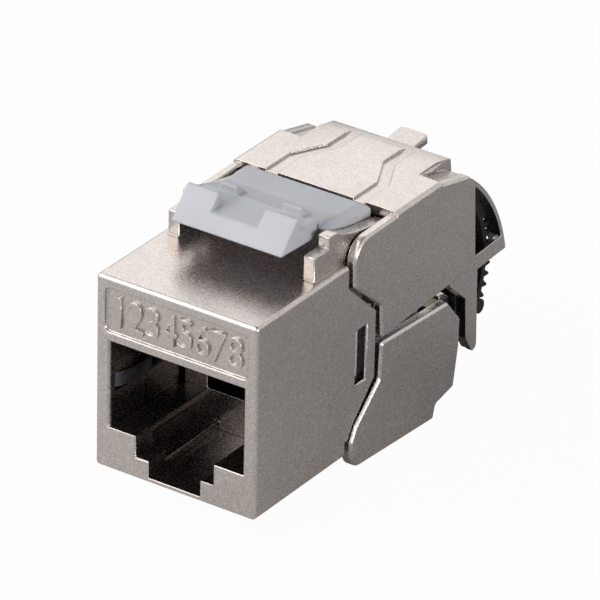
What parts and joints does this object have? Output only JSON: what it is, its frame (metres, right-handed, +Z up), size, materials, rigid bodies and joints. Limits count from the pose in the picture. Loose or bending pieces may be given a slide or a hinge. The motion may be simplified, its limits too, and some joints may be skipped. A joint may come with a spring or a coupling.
{
  "type": "keystone jack",
  "caption": "Shielded die-cast keystone jack with a plug port, sprung panel latch, hinged rear doors over the wire terminals and a curved toothed cable clamp.",
  "frame": {"origin": "middle of the panel cutout, in the plane of the panel's rear face", "axes": "+X across to the right seen from the front, +Y rearward along the cable, +Z up, the side with the latch"},
  "size_m": [0.015, 0.0334, 0.0233],
  "materials": {
    "die_cast": "satin nickel plate over die-cast zinc, fine sparkle grain",
    "white_plastic": "smooth, slightly translucent",
    "black_plastic": "fine matt",
    "gold_wire": "gold-plated wire",
    "spring_metal": "tinned spring bronze",
    "shield_brass": "plain spring brass",
    "board": "coated board"
  },
  "bodies": {
    "housing": {"front_housing": "die_cast", "contact_carrier": "black_plastic", "jack_contact_1": "gold_wire", "jack_contact_2": "gold_wire", "jack_contact_3": "gold_wire", "jack_contact_4": "gold_wire", "jack_contact_5": "gold_wire", "jack_contact_6": "gold_wire", "jack_contact_7": "gold_wire", "jack_contact_8": "gold_wire", "shield_spring_right": "spring_metal", "shield_spring_left": "spring_metal", "circuit_board": "board", "idc_block": "white_plastic", "idc_contact_1": "spring_metal", "idc_contact_2": "spring_metal", "idc_contact_3": "spring_metal", "idc_contact_4": "spring_metal", "idc_contact_5": "spring_metal", "idc_contact_6": "spring_metal", "idc_contact_7": "spring_metal", "idc_contact_8": "spring_metal"},
    "latch": {"keystone_latch": "white_plastic"},
    "upper_cover": {"upper_door": "die_cast", "upper_wire_presser": "black_plastic"},
    "lower_cover": {"lower_door": "die_cast", "lower_wire_presser": "black_plastic", "cable_shield_spring": "shield_brass"},
    "clamp": {"cable_clamp": "black_plastic"}
  },
  "joints": [
    {"name": "latch_press", "type": "hinge", "parent": "housing", "child": "latch", "pos_m": [0, 0.00625, 0.00822], "axis": [1, 0, 0], "range_deg": [0, 12], "stiffness_Nm_per_rad": 0.19},
    {"name": "upper_door_hinge", "type": "hinge", "parent": "housing", "child": "upper_cover", "pos_m": [0, 0.00415, 0.00735], "axis": [1, 0, 0], "range_deg": [-3.3, 85]},
    {"name": "lower_door_hinge", "type": "hinge", "parent": "housing", "child": "lower_cover", "pos_m": [0, 0.00415, -0.00845], "axis": [-1, 0, 0], "range_deg": [-3.3, 85]},
    {"name": "clamp_slide", "type": "hinge", "parent": "upper_cover", "child": "clamp", "pos_m": [0, 0.01341, 0.00011], "axis": [1, 0, 0], "range_deg": [-10, 8]}
  ]
}
